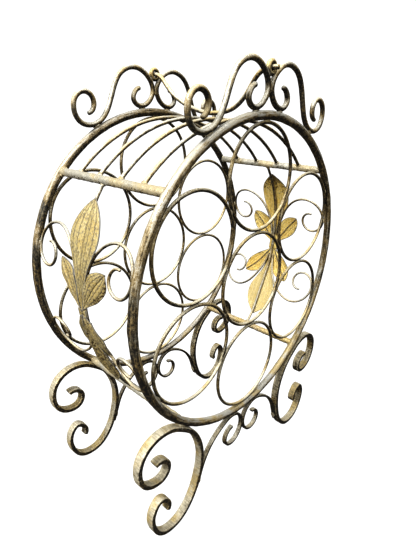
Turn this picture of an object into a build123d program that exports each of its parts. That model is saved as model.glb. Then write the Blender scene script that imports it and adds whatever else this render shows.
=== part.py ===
"""Round wrought-iron rack that holds seven bottles lying on their sides.

Two hoops stand upright, one behind the other, and seven wire rings in each hoop carry the necks and the
bases of the bottles. Crossbars and arched roof bars join the hoops into a drum, whose axis runs along Y.
Scroll feet carry the drum, leaf panels close its sides, and a bail handle hangs between two crests.

Origin: on the floor, below the middle of the drum. +Y runs from the front hoop to the rear hoop,
+X to the right as seen from the front, +Z up. Millimetres.
"""

import os
from math import cos, pi, radians, sin

from build123d import *

# Driving dimensions
HOOP_RADIUS = 152.4  # centreline of the two hoops, 12 inches across
HOOP_BAR = 8.0
DRUM_DEPTH = 146.0  # from the front hoop's plane to the rear hoop's
AXIS_HEIGHT = 244.8  # of the drum's axis above the floor
WELD_GAP = 0.05  # left between welded pieces, where the weld bead sits

RING_WIRE = 3.4
CROSSBAR = 7.6
UPPER_CROSSBAR_ANGLE = 40.0  # above the horizontal
LOWER_CROSSBAR_ANGLE = 49.0  # below the horizontal
ROOF_BARS = 4
ROOF_WIRE = 3.6
ROOF_RISE = 147.8  # of the roof bars' top above the drum's axis

CREST_ROD = 5.0
EYE_HEIGHT = 189.0  # of the handle's hinge line above the drum's axis
EYE_WIRE = 2.8
EYE_RADIUS = 4.6  # centreline
HANDLE_ROD = 4.2

FOOT_WIDTH = 8.5  # flat bar, along Y
FOOT_THICKNESS = 5.0
BRACE_WIDTH = 6.0
BRACE_THICKNESS = 3.0

PANEL_RADIUS = 151.4  # cylinder that the stems and tendrils lie on
PANEL_INSET = 6.5  # of the lower half of a panel from the cylinder, at its deepest
TENDRIL_RISE = 2.5  # of the four tendrils above the middle of their panel
PANEL_WIRE = 2.8
STEM_WIRE = 3.2
LEAF_SHEET = 1.0

# Worked out from them
FRONT = -DRUM_DEPTH / 2
REAR = DRUM_DEPTH / 2
PANEL_MIDDLE = radians(UPPER_CROSSBAR_ANGLE - LOWER_CROSSBAR_ANGLE) / 2 * PANEL_RADIUS
PANEL_HALF = radians(UPPER_CROSSBAR_ANGLE + LOWER_CROSSBAR_ANGLE) / 2 * PANEL_RADIUS
LEAF_INNER = STEM_WIRE / 2 + WELD_GAP  # from the stem's centreline to the leaves' inner face

# Centrelines in the plane of a hoop, as (distance from the middle, height above the drum's axis)
CREST_LINE = [
    (20.5, 174.8), (27.0, 170.8), (28.8, 164.2), (25.2, 159.6), (18.0, 158.0), (8.2, 162.6), (2.6, 173.2),
    (8.5, 185.6), (27.0, 193.6), (44.0, 187.0), (53.0, 173.0), (60.0, 155.8), (69.0, 143.9), (82.0, 139.0),
    (93.5, 142.5), (98.5, 153.0), (95.5, 163.8), (86.5, 168.3), (78.3, 164.0), (77.0, 155.8), (83.5, 149.3),
]
FOOT_LINE = [
    (134.0, -144.5), (125.0, -144.8), (118.3, -153.5), (122.5, -164.8), (136.0, -166.2),
    (147.8, -158.0), (152.6, -143.0), (149.5, -128.0), (138.5, -117.3), (124.0, -114.3), (110.5, -117.5),
    (98.4, -125.2), (87.2, -135.0), (77.5, -150.5), (71.4, -176.0), (74.8, -202.0), (87.0, -229.0),
    (105.5, -242.2), (125.0, -239.2), (137.3, -220.0), (136.6, -202.0), (128.2, -193.6), (119.8, -199.5),
    (119.0, -212.0),
]
BRACE_LINE = [
    (75.9, -219.2), (73.2, -211.7), (70.5, -204.0), (64.0, -187.5), (50.5, -170.5), (35.0, -160.5),
    (20.0, -156.8), (7.3, -162.8), (1.58, -176.5), (5.6, -189.3), (14.5, -196.2), (25.0, -194.8),
    (30.2, -186.0), (26.6, -176.6), (18.5, -173.4),
]
# The handle, as (distance from the front hoop's plane, drop below the hinge line). It passes through its
# two eyes and is bent by hand: steep at the front, and a long slope at the rear.
HANDLE_LINE = [
    (-7.0, 0.0), (-1.0, 0.0), (5.0, 0.6), (12.0, 3.9), (18.5, 11.5), (26.5, 22.5), (37.5, 31.2), (54.0, 35.6),
    (76.0, 35.2), (99.0, 28.6), (119.0, 18.2), (131.5, 6.8), (140.0, 1.0), (147.0, 0.0), (153.0, 0.0),
]
# Shapes on a side panel, as (distance from its stem, distance along the drum from the panel's middle)
TENDRIL_LINE = [
    (3.1, 14.0), (6.0, 28.0), (13.5, 47.0), (26.5, 63.0), (43.0, 69.5), (58.5, 64.5), (66.9, 50.0),
    (64.6, 35.5), (55.0, 28.6), (44.5, 31.0), (39.8, 40.0), (44.0, 49.0), (52.0, 50.5),
]
LARGE_LEAF_EDGE = [
    (2.3, 0.1), (2.6, 12.0), (5.6, 30.0), (13.5, 49.0), (18.8, 66.0), (15.0, 84.0), (0.0, 98.0),
]
SMALL_LEAF_EDGES = [
    [(2.8, 6.5), (14.5, 12.0), (27.0, 20.5), (32.8, 30.0), (31.8, 42.5)],
    [(2.8, 6.5), (5.6, 17.5), (9.0, 29.0), (17.0, 38.5), (31.8, 42.5)],
]
FOLDED_LEAF_EDGES = [  # the lower rear leaf of the left panel, which is bent in beside the large one
    [(2.8, 6.5), (9.5, 13.5), (12.0, 24.0), (10.5, 36.0)],
    [(2.8, 6.5), (5.2, 15.5), (7.4, 25.5), (10.5, 36.0)],
]


def hoop_plane(depth):
    """The upright plane at a depth, centred on the drum's axis, with its Y axis pointing up."""
    return Plane(origin=(0, depth, AXIS_HEIGHT), x_dir=(1, 0, 0), z_dir=(0, -1, 0))


def to_side(line, side):
    """A centreline drawn for the right side, moved to side 1 (right) or -1 (left)."""
    return [(side * across, up) for across, up in line]


def panel_section(across, along, rise=0.0):
    """(distance from the drum's axis sideways, height above it) of a point of a side panel.

    The upper half lies on the cylinder. The lower half is straighter, so it runs inside the cylinder,
    as far as the ends of the tendrils, which reach back out to the hoops.
    """
    below = max(0.0, -along) / PANEL_HALF
    near_stem = min(1.0, max(0.0, (40.0 - abs(across)) / 26.0))
    radius = PANEL_RADIUS + rise - PANEL_INSET * sin(pi * min(1.0, below)) ** 2 * near_stem
    turn = (along + PANEL_MIDDLE) / PANEL_RADIUS
    return (radius * cos(turn), radius * sin(turn))


def on_panel(across, along, side):
    """A point on the centreline of a side panel's wires."""
    sideways, up = panel_section(across, along)
    return (side * sideways, across, AXIS_HEIGHT + up)


def leaf_height(along):
    """Height above the drum's axis of a point of a side panel's sheet."""
    return panel_section(0, along, LEAF_INNER)[1]


def make_hoop(name, depth):
    with BuildPart() as hoop:
        with BuildSketch(Plane(origin=(HOOP_RADIUS, depth, AXIS_HEIGHT), z_dir=(0, 0, 1))):
            Circle(HOOP_BAR / 2)
        revolve(axis=Axis((0, depth, AXIS_HEIGHT), (0, 1, 0)))
    hoop.part.label = name
    export_step(hoop.part, f"parts/{name}.step")
    return hoop.part


def make_ring(name, depth, centre, radius):
    """A bottle ring, in the plane of its hoop."""
    across, up = centre
    height = AXIS_HEIGHT + up
    with BuildPart() as ring:
        with BuildSketch(Plane(origin=(across + radius, depth, height), z_dir=(0, 0, 1))):
            Circle(RING_WIRE / 2)
        revolve(axis=Axis((across, depth, height), (0, 1, 0)))
    ring.part.label = name
    export_step(ring.part, f"parts/{name}.step")
    return ring.part


def make_bottle_rings(end, depth):
    """Seven equal rings: one in the middle and six around it, touching each other and the hoop."""
    pitch = (HOOP_RADIUS - HOOP_BAR / 2) * 2 / 3
    radius = pitch / 2 - RING_WIRE / 2 - WELD_GAP / 2
    make_ring(f"{end}_ring_centre", depth, (0, 0), radius)
    places = ["upper_right", "top", "upper_left", "lower_left", "bottom", "lower_right"]
    for index, place in enumerate(places):
        angle = radians(30 + 60 * index)
        centre = (pitch * cos(angle), pitch * sin(angle))
        make_ring(f"{end}_ring_{place}", depth, centre, radius)


def make_crossbar(name, side, angle, hoops):
    """A straight bar between the hoops, coped to fit round them."""
    across = side * HOOP_RADIUS * cos(radians(angle))
    height = AXIS_HEIGHT + HOOP_RADIUS * sin(radians(angle))
    with BuildPart() as crossbar:
        with BuildSketch(Plane(origin=(across, FRONT, height), z_dir=(0, 1, 0))):
            Circle(CROSSBAR / 2)
        extrude(amount=DRUM_DEPTH)
        for hoop in hoops:
            add(hoop, mode=Mode.SUBTRACT)
        keep_middle = crossbar.solids().sort_by(SortBy.VOLUME)[-1]
        add(keep_middle, mode=Mode.REPLACE)
    crossbar.part.label = name
    export_step(crossbar.part, f"parts/{name}.step")
    return crossbar.part


def make_roof_bar(name, depth, crossbars):
    """An arched wire that stands on the two upper crossbars."""
    reach = HOOP_RADIUS * cos(radians(UPPER_CROSSBAR_ANGLE))
    foot = HOOP_RADIUS * sin(radians(UPPER_CROSSBAR_ANGLE))
    with BuildPart() as roof_bar:
        with BuildLine(hoop_plane(depth)) as arch:
            ThreePointArc((-reach, foot), (0, ROOF_RISE), (reach, foot))
        with BuildSketch(Plane(arch.line @ 0, z_dir=arch.line % 0)):
            Circle(ROOF_WIRE / 2)
        sweep()
        for crossbar in crossbars:
            add(crossbar, mode=Mode.SUBTRACT)
        keep_middle = roof_bar.solids().sort_by(SortBy.VOLUME)[-1]
        add(keep_middle, mode=Mode.REPLACE)
    roof_bar.part.label = name
    export_step(roof_bar.part, f"parts/{name}.step")


def make_rod_scroll(name, depth, line, diameter):
    """A scroll of round rod in the plane of a hoop."""
    with BuildPart() as scroll:
        with BuildLine(hoop_plane(depth)) as centreline:
            Spline(*line)
        with BuildSketch(Plane(centreline.line @ 0, z_dir=centreline.line % 0)):
            Circle(diameter / 2)
        sweep()
    scroll.part.label = name
    export_step(scroll.part, f"parts/{name}.step")


def make_strip_scroll(name, depth, line, width, thickness):
    """A scroll of flat bar, bent on its wide face. What would reach below the floor is dressed flat."""
    with BuildPart() as scroll:
        with BuildLine(hoop_plane(depth)) as centreline:
            Spline(*line)
        section = Plane(centreline.line @ 0, x_dir=(0, 1, 0), z_dir=centreline.line % 0)
        with BuildSketch(section):
            Rectangle(width, thickness)
        sweep()
        split(bisect_by=Plane.XY, keep=Keep.TOP)
    scroll.part.label = name
    export_step(scroll.part, f"parts/{name}.step")


def make_eye(name, depth):
    """The ring that the handle's end hangs in."""
    height = AXIS_HEIGHT + EYE_HEIGHT
    with BuildPart() as eye:
        with BuildSketch(Plane(origin=(EYE_RADIUS, depth, height), z_dir=(0, 0, 1))):
            Circle(EYE_WIRE / 2)
        revolve(axis=Axis((0, depth, height), (0, 1, 0)))
    eye.part.label = name
    export_step(eye.part, f"parts/{name}.step")


def make_handle():
    """A bail of round rod, with its two ends in the eyes and a sagging grip between them."""
    end_height = AXIS_HEIGHT + EYE_HEIGHT
    with BuildPart() as handle:
        with BuildLine() as centreline:
            Spline(*[(0, FRONT + inwards, end_height - drop) for inwards, drop in HANDLE_LINE])
        with BuildSketch(Plane(centreline.line @ 0, z_dir=centreline.line % 0)):
            Circle(HANDLE_ROD / 2)
        sweep()
    handle.part.label = "handle"
    export_step(handle.part, "parts/handle.step")


def make_stem(name, side, crossbars):
    """The wire behind the leaves, from the upper to the lower crossbar of a side."""
    with BuildPart() as stem:
        with BuildLine() as centreline:
            Spline(*[on_panel(0, PANEL_HALF * step / 8, side) for step in range(8, -9, -1)])
        with BuildSketch(Plane(centreline.line @ 0, z_dir=centreline.line % 0)):
            Circle(STEM_WIRE / 2)
        sweep()
        for crossbar in crossbars:
            add(crossbar, mode=Mode.SUBTRACT)
        keep_middle = stem.solids().sort_by(SortBy.VOLUME)[-1]
        add(keep_middle, mode=Mode.REPLACE)
    stem.part.label = name
    export_step(stem.part, f"parts/{name}.step")


def make_tendril(name, side, end, half):
    """A scroll of wire in a side panel, from the stem out to a hoop and back in a curl."""
    points = [on_panel(end * across, half * along + TENDRIL_RISE, side) for across, along in TENDRIL_LINE]
    with BuildPart() as tendril:
        with BuildLine() as centreline:
            Spline(*points)
        with BuildSketch(Plane(centreline.line @ 0, z_dir=centreline.line % 0)):
            Circle(PANEL_WIRE / 2)
        sweep()
    tendril.part.label = name
    export_step(tendril.part, f"parts/{name}.step")


def leaf_shell(side):
    """The thin curved sheet that the stamped leaves of a side are cut from."""
    steps = [PANEL_HALF * step / 16 for step in range(-16, 17)]
    inner = [panel_section(0, along, LEAF_INNER) for along in steps]
    outer = [panel_section(0, along, LEAF_INNER + LEAF_SHEET) for along in steps]
    with BuildPart() as shell:
        with BuildSketch(hoop_plane(0)):
            with BuildLine():
                Spline(*to_side(inner, side))
                Spline(*to_side(outer, side))
                Line(to_side(inner, side)[0], to_side(outer, side)[0])
                Line(to_side(inner, side)[-1], to_side(outer, side)[-1])
            make_face()
        extrude(amount=DRUM_DEPTH / 2, both=True)
    return shell.part


def make_large_leaf(name, side, half, shell):
    """A long leaf that tapers from its tip to the neck in the middle of the panel."""
    right_edge = [(across, leaf_height(half * along)) for across, along in LARGE_LEAF_EDGE]
    left_edge = [(-across, up) for across, up in right_edge]
    side_plane = Plane(origin=(0, 0, AXIS_HEIGHT), x_dir=(0, side, 0), z_dir=(side, 0, 0))
    with BuildPart() as leaf:
        with BuildSketch(side_plane):
            with BuildLine():
                Spline(*right_edge)
                Spline(*left_edge)
                Line(left_edge[0], right_edge[0])
            make_face()
        extrude(amount=2 * HOOP_RADIUS)
        add(shell, mode=Mode.INTERSECT)
    leaf.part.label = name
    export_step(leaf.part, f"parts/{name}.step")


def make_small_leaves(name, side, half, shell):
    """The pair of short leaves that spring from the neck, one towards each hoop."""
    side_plane = Plane(origin=(0, 0, AXIS_HEIGHT), x_dir=(0, side, 0), z_dir=(side, 0, 0))
    with BuildPart() as leaves:
        with BuildSketch(side_plane):
            for end in (-1, 1):
                folded = (side, half, end) == (-1, -1, 1)
                with BuildLine():
                    for edge in FOLDED_LEAF_EDGES if folded else SMALL_LEAF_EDGES:
                        Spline(*[(side * end * across, leaf_height(half * along)) for across, along in edge])
                make_face()
        extrude(amount=2 * HOOP_RADIUS)
        add(shell, mode=Mode.INTERSECT)
    leaves.part.label = name
    export_step(leaves.part, f"parts/{name}.step")


def make_side_panel(side_name, side, upper_crossbar, lower_crossbar):
    shell = leaf_shell(side)
    make_stem(f"{side_name}_stem", side, [upper_crossbar, lower_crossbar])
    for half_name, half in (("upper", 1), ("lower", -1)):
        make_large_leaf(f"{side_name}_{half_name}_large_leaf", side, half, shell)
        make_small_leaves(f"{side_name}_{half_name}_small_leaves", side, half, shell)
        for end_name, end in (("front", -1), ("rear", 1)):
            make_tendril(f"{side_name}_{half_name}_{end_name}_tendril", side, end, half)


os.makedirs("parts", exist_ok=True)

hoops = [make_hoop("front_hoop", FRONT), make_hoop("rear_hoop", REAR)]
make_bottle_rings("front", FRONT)
make_bottle_rings("rear", REAR)

upper_left = make_crossbar("crossbar_upper_left", -1, UPPER_CROSSBAR_ANGLE, hoops)
upper_right = make_crossbar("crossbar_upper_right", 1, UPPER_CROSSBAR_ANGLE, hoops)
lower_left = make_crossbar("crossbar_lower_left", -1, -LOWER_CROSSBAR_ANGLE, hoops)
lower_right = make_crossbar("crossbar_lower_right", 1, -LOWER_CROSSBAR_ANGLE, hoops)

for number in range(1, ROOF_BARS + 1):
    roof_depth = FRONT + DRUM_DEPTH * number / (ROOF_BARS + 1)
    make_roof_bar(f"roof_bar_{number}", roof_depth, [upper_left, upper_right])

for end_name, end_depth in (("front", FRONT), ("rear", REAR)):
    make_eye(f"handle_eye_{end_name}", end_depth)
    for side_name, side in (("left", -1), ("right", 1)):
        make_rod_scroll(f"crest_{end_name}_{side_name}", end_depth, to_side(CREST_LINE, side), CREST_ROD)
        make_strip_scroll(f"foot_{end_name}_{side_name}", end_depth, to_side(FOOT_LINE, side),
                          FOOT_WIDTH, FOOT_THICKNESS)
        make_strip_scroll(f"brace_{end_name}_{side_name}", end_depth, to_side(BRACE_LINE, side),
                          BRACE_WIDTH, BRACE_THICKNESS)

make_handle()

make_side_panel("left", -1, upper_left, lower_left)
make_side_panel("right", 1, upper_right, lower_right)
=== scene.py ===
"""The looks of a round wrought-iron bottle rack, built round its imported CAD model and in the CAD's frame.

Sizes and points are in millimetres up to new_piece, which writes the meshes in metres. Lights and the
camera are in metres.
"""

import math

import bmesh
import bpy
import numpy as np
from mathutils import Matrix, Vector, noise


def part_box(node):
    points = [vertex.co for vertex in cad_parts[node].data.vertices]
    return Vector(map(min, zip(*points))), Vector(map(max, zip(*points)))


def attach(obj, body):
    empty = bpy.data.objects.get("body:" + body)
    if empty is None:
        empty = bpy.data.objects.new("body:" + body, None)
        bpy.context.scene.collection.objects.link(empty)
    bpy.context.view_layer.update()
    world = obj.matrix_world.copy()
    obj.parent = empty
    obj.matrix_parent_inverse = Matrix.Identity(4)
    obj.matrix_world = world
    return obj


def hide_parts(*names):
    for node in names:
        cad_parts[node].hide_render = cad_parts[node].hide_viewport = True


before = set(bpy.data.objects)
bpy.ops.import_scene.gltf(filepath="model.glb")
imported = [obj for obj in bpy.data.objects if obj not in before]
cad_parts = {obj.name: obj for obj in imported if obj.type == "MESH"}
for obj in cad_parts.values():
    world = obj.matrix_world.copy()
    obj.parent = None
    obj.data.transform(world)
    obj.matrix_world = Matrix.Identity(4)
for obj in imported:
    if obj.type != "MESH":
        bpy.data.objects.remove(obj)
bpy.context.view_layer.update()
MM = 0.001

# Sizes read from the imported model
hoop_low, hoop_high = (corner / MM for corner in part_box("front_hoop"))
HOOP_BAR = hoop_high.y - hoop_low.y
HOOP_RADIUS = (hoop_high.x - hoop_low.x - HOOP_BAR) / 2
AXIS_HEIGHT = (hoop_high.z + hoop_low.z) / 2
FRONT = (hoop_high.y + hoop_low.y) / 2
rear_low, rear_high = (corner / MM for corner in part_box("rear_hoop"))
REAR = (rear_low.y + rear_high.y) / 2
DEPTH = REAR - FRONT
ring_low, ring_high = (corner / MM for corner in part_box("front_ring_centre"))
RING_WIRE = ring_high.y - ring_low.y
RING_RADIUS = (ring_high.x - ring_low.x - RING_WIRE) / 2
RING_PITCH = (HOOP_RADIUS - HOOP_BAR / 2) * 2 / 3
eye_low, eye_high = (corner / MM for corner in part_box("handle_eye_front"))
EYE_WIRE = eye_high.y - eye_low.y
EYE_RADIUS = (eye_high.x - eye_low.x - EYE_WIRE) / 2
EYE_HEIGHT = (eye_high.z + eye_low.z) / 2 - AXIS_HEIGHT

# Sizes that the CAD model was driven by
CROSSBAR = 7.6
UPPER_CROSSBAR_ANGLE = 40.0
LOWER_CROSSBAR_ANGLE = -49.0
ROOF_BARS = 4
ROOF_WIRE = 3.6
ROOF_RISE = 147.8
CREST_ROD = 5.0
HANDLE_ROD = 4.2
FOOT_WIDTH = 8.5
FOOT_THICKNESS = 5.0
BRACE_THICKNESS = 3.0
PANEL_RADIUS = 151.4
PANEL_INSET = 6.5  # of the middle of a panel's lower half
STEM_REACH = 40.0  # how far from the stem that inset ends
STEM_FADE = 26.0  # the width over which it fades out
TENDRIL_RISE = 2.5
PANEL_WIRE = 2.8
STEM_WIRE = 3.2
LEAF_SHEET = 1.0
LEAF_MIDDLE = STEM_WIRE / 2 + 0.05 + LEAF_SHEET / 2  # from the stem's centreline to the middle of the sheet
PANEL_MIDDLE = math.radians(UPPER_CROSSBAR_ANGLE + LOWER_CROSSBAR_ANGLE) / 2 * PANEL_RADIUS
PANEL_HALF = math.radians(UPPER_CROSSBAR_ANGLE - LOWER_CROSSBAR_ANGLE) / 2 * PANEL_RADIUS

# Small ways in which the photograph differs from the CAD model
NECK_INSET = 4.5  # of a panel's middle, inside the drum's cylinder
NECK_REACH = 40.0  # how far above and below that middle the inset reaches
LEFT_STEM_LEAN = 5.0  # of the left stem's upper end towards the rear
BRACE_WIDTH = 4.9
EYE_SWELL = 0.8  # of the radius of the eyes' wire

# The length, width and height of the weld beads
RING_WELD = (5.5, 2.6, 3.0)
HOOP_WELD = (8.0, 2.6, 3.6)
CROSSBAR_WELD = (4.2, 3.6, 5.4)
ROOF_WELD = (6.4, 3.6, 5.0)
CREST_PAIR_WELD = (9.0, 2.4, 4.6)
BRACE_PAIR_WELD = (9.0, 2.0, 5.0)
EYE_WELD = (4.6, 2.6, 3.6)
STEM_WELD = (6.0, 4.0, 4.4)
TENDRIL_WELD = (5.5, 2.6, 3.2)

# Centrelines in the plane of a hoop, as (distance from the middle, height above the drum's axis)
CREST_LINE = [
    (20.5, 174.8), (27.0, 170.8), (28.8, 164.2), (25.2, 159.6), (18.0, 158.0), (8.2, 162.6), (2.6, 173.2),
    (8.5, 185.6), (27.0, 193.6), (44.0, 187.0), (53.0, 173.0), (60.0, 155.8), (69.0, 143.9), (82.0, 139.0),
    (93.5, 142.5), (98.5, 153.0), (95.5, 163.8), (86.5, 168.3), (78.3, 164.0), (77.0, 155.8), (83.5, 149.3),
]
FOOT_LINE = [
    (134.0, -144.5), (125.0, -144.8), (118.3, -153.5), (122.5, -164.8), (136.0, -166.2),
    (147.8, -158.0), (152.6, -143.0), (149.5, -128.0), (138.5, -117.3), (124.0, -114.3), (110.5, -117.5),
    (98.4, -125.2), (87.2, -135.0), (77.5, -150.5), (71.4, -176.0), (74.8, -202.0), (87.0, -229.0),
    (105.5, -242.2), (125.0, -239.2), (137.3, -220.0), (136.6, -202.0), (128.2, -193.6), (119.8, -199.5),
    (119.0, -212.0),
]
BRACE_LINE = [
    (75.9, -219.2), (73.2, -211.7), (70.5, -204.0), (64.0, -187.5), (50.5, -170.5), (35.0, -160.5),
    (20.0, -156.8), (7.3, -162.8), (1.58, -176.5), (5.6, -189.3), (14.5, -196.2), (25.0, -194.8),
    (30.2, -186.0), (26.6, -176.6), (18.5, -173.4),
]
# The handle, as (distance from the front hoop's plane, drop below the hinge line)
HANDLE_LINE = [
    (-7.0, 0.0), (-1.0, 0.0), (5.0, 0.6), (12.0, 3.9), (18.5, 11.5), (26.5, 22.5), (37.5, 31.2),
    (54.0, 35.6), (76.0, 35.2), (99.0, 28.6), (119.0, 18.2), (131.5, 6.8), (140.0, 1.0), (147.0, 0.0),
    (153.0, 0.0),
]
# Shapes on a side panel, as (distance from its stem, distance along the drum from the panel's middle)
TENDRIL_LINE = [
    (3.1, 14.0), (6.0, 28.0), (13.5, 47.0), (26.5, 63.0), (43.0, 69.5), (58.5, 64.5), (66.9, 50.0),
    (64.6, 35.5), (55.0, 28.6), (44.5, 31.0), (39.8, 40.0), (44.0, 49.0), (52.0, 50.5),
]
LARGE_LEAF_EDGE = [
    (6.2, -4.0), (6.0, 4.0), (5.4, 16.0), (7.2, 32.0), (13.2, 48.0), (18.8, 66.0), (16.2, 83.0), (6.5, 95.0),
    (0.0, 100.5),
]
SMALL_LEAF_EDGES = [
    [(0.5, 1.5), (14.5, 11.5), (27.0, 20.5), (32.8, 30.0), (31.8, 43.5)],
    [(0.5, 1.5), (4.4, 17.0), (6.4, 27.5), (10.2, 36.5), (19.0, 42.6), (31.8, 44.0)],
]
FOLDED_LEAF_EDGES = [
    [(0.5, 1.5), (9.8, 11.5), (12.8, 22.5), (9.5, 36.0)],
    [(0.5, 1.5), (2.6, 14.0), (4.4, 25.0), (9.5, 36.0)],
]
TURNED_LEAF_EDGES = [
    [(0.5, 1.5), (10.0, 9.0), (16.0, 20.5), (18.0, 35.0), (13.5, 57.0)],
    [(0.5, 1.5), (2.5, 17.0), (4.5, 31.0), (7.5, 44.0), (13.5, 57.0)],
]

# Each long leaf's length and breadth against the outline, its sway, and its darkening as build_leaf takes it
LONG_LEAVES = {
    ("left", "upper"): (1.0, 1.0, -2.2, (0.45, 0.0)),
    ("left", "lower"): (0.93, 0.86, 0.0, (-0.10, 0.42)),
    ("right", "upper"): (1.0, 1.0, 0.0, (0.55, 0.8)),
    ("right", "lower"): (1.0, 1.0, 0.0, (0.10, -0.55)),
}
# The edges, curl and tip of the short leaves, as build_leaf takes them: most are alike, and two are bent
SHORT_LEAF = (SMALL_LEAF_EDGES, 2.0, -2.8)
BENT_SHORT_LEAVES = {
    ("left", "lower", "front"): (TURNED_LEAF_EDGES, 1.0, -2.8),
    ("left", "lower", "rear"): (FOLDED_LEAF_EDGES, 0.6, 0.5),
}

SCROLL_STEP = 0.9  # between the rings of points along a bent rod
CROSSBAR_STEP = 1.2
SEAM_ANGLE = 0.4  # where a hoop or ring starts, in radians

UP = np.array([0.0, 0.0, 1.0])
ALONG_DRUM = np.array([0.0, 1.0, 0.0])


# ---------------------------------------------------------------- curves

def unit(vectors):
    return vectors / np.maximum(np.linalg.norm(vectors, axis=-1, keepdims=True), 1e-12)


def end_slope(times, points):
    """The slope, at the first time, of the cubic through the first four points."""
    offsets = times[:4] - times[0]
    powers = np.vander(offsets, 4, increasing=True)
    return np.linalg.solve(powers, points[:4])[1]


def spline(points, step):
    """Points at even steps along the smooth curve through the given ones."""
    points = np.array(points, float)
    gaps = np.linalg.norm(np.diff(points, axis=0), axis=1)
    times = np.concatenate([[0.0], np.cumsum(gaps)])
    count = len(points)
    matrix = np.zeros((count, count))
    right = np.zeros_like(points)
    matrix[0, 0] = matrix[-1, -1] = 1.0
    right[0] = end_slope(times, points)
    right[-1] = -end_slope(times[-1] - times[::-1], points[::-1])
    for i in range(1, count - 1):
        before, after = gaps[i - 1], gaps[i]
        matrix[i, i - 1:i + 2] = after, 2 * (before + after), before
        right[i] = 3 * (after * (points[i] - points[i - 1]) / before
                        + before * (points[i + 1] - points[i]) / after)
    slope = np.linalg.solve(matrix, right)
    fine = []
    t = np.linspace(0, 1, 40, endpoint=False)[:, None]
    for i in range(count - 1):
        fine.append((2 * t**3 - 3 * t**2 + 1) * points[i] + (t**3 - 2 * t**2 + t) * gaps[i] * slope[i]
                    + (3 * t**2 - 2 * t**3) * points[i + 1] + (t**3 - t**2) * gaps[i] * slope[i + 1])
    fine.append(points[-1:])
    return even_steps(np.concatenate(fine), step)


def even_steps(path, step):
    """The same open path, with its points an even step apart."""
    lengths = np.concatenate([[0.0], np.cumsum(np.linalg.norm(np.diff(path, axis=0), axis=1))])
    count = max(2, int(round(lengths[-1] / step)) + 1)
    wanted = np.linspace(0, lengths[-1], count)
    return np.stack([np.interp(wanted, lengths, path[:, k]) for k in range(path.shape[1])], 1)


def in_hoop_plane(line, side, depth):
    """A scroll's centreline at a hoop's depth, mirrored for the left side."""
    flat = spline([(side * across, up) for across, up in line], SCROLL_STEP)
    return np.stack([flat[:, 0], np.full(len(flat), depth), flat[:, 1] + AXIS_HEIGHT], 1)


def on_panel(across, along, side, rise=0.0, near_stem=None):
    """Points of a side panel: on the drum's cylinder at the top, and inside it round the neck and below."""
    along = np.asarray(along, float)
    across = np.broadcast_to(across, along.shape)
    if near_stem is None:
        near_stem = np.clip((STEM_REACH - np.abs(across)) / STEM_FADE, 0, 1)
    below = np.clip(-along / PANEL_HALF, 0, 1)
    inset = PANEL_INSET * np.sin(math.pi * below) ** 2 + NECK_INSET * np.exp(-(along / NECK_REACH) ** 2)
    radius = PANEL_RADIUS + rise - inset * near_stem
    turn = (along + PANEL_MIDDLE) / PANEL_RADIUS
    return np.stack([side * radius * np.cos(turn), across, AXIS_HEIGHT + radius * np.sin(turn)], -1)


def circle(centre, radius, depth, count):
    """A closed path in a hoop's plane. centre is measured from the drum's axis."""
    angle = np.linspace(0, 2 * math.pi, count, endpoint=False) + SEAM_ANGLE
    return np.stack([centre[0] + radius * np.cos(angle), np.full(count, depth),
                     AXIS_HEIGHT + centre[1] + radius * np.sin(angle)], 1)


def away_from_axis(path):
    """Unit vectors from the drum's axis out through the points of a path."""
    out = path - np.array([0.0, 0.0, AXIS_HEIGHT])
    out[:, 1] = 0.0
    return unit(out)


# ---------------------------------------------------------------- meshes

def bumps(points, scale, seed):
    """Smooth noise from -1 to 1 at the points, with bumps of about the scale given."""
    shift = Vector((17.3 * seed, 5.1 * seed, 9.7 * seed))
    return np.array([noise.noise(Vector(p) / scale + shift) for p in points])


def set_values(mesh, name, values):
    layer = mesh.attributes.new(name, "FLOAT", "POINT")
    layer.data.foreach_set("value", np.asarray(values, np.float32).ravel())


def new_piece(name, points, faces, values):
    """A smooth mesh object, with values at its points for its material."""
    mesh = bpy.data.meshes.new(name)
    mesh.from_pydata((np.asarray(points) * MM).tolist(), [], faces)
    for key, numbers in values.items():
        set_values(mesh, key, numbers)
    mesh.shade_smooth()
    mesh.update()
    piece = bpy.data.objects.new(name, mesh)
    bpy.context.scene.collection.objects.link(piece)
    return piece


def round_section(radius, sides):
    angle = np.linspace(0, 2 * math.pi, sides, endpoint=False)
    return radius * np.stack([np.cos(angle), np.sin(angle)], 1)


def flat_section(width, thickness, corner=0.9):
    """A rectangle with rounded corners. Its first axis is the thickness and its second the width."""
    points = []
    quarter = np.linspace(0, math.pi / 2, 4)
    centres = [(1, 1), (-1, 1), (-1, -1), (1, -1)]
    for turn, (thick, wide) in enumerate(centres):
        angle = quarter + turn * math.pi / 2
        middle = np.array([thick * (thickness / 2 - corner), wide * (width / 2 - corner)])
        points.append(middle + corner * np.stack([np.cos(angle), np.sin(angle)], 1))
        start = points[-1][-1]
        if turn in (0, 2):
            stop, count = start + np.array([-thick * (thickness - 2 * corner), 0]), 3
        else:
            stop, count = start + np.array([0, -wide * (width - 2 * corner)]), 7
        points.append(np.linspace(start, stop, count)[1:-1])
    return np.concatenate(points)


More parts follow.
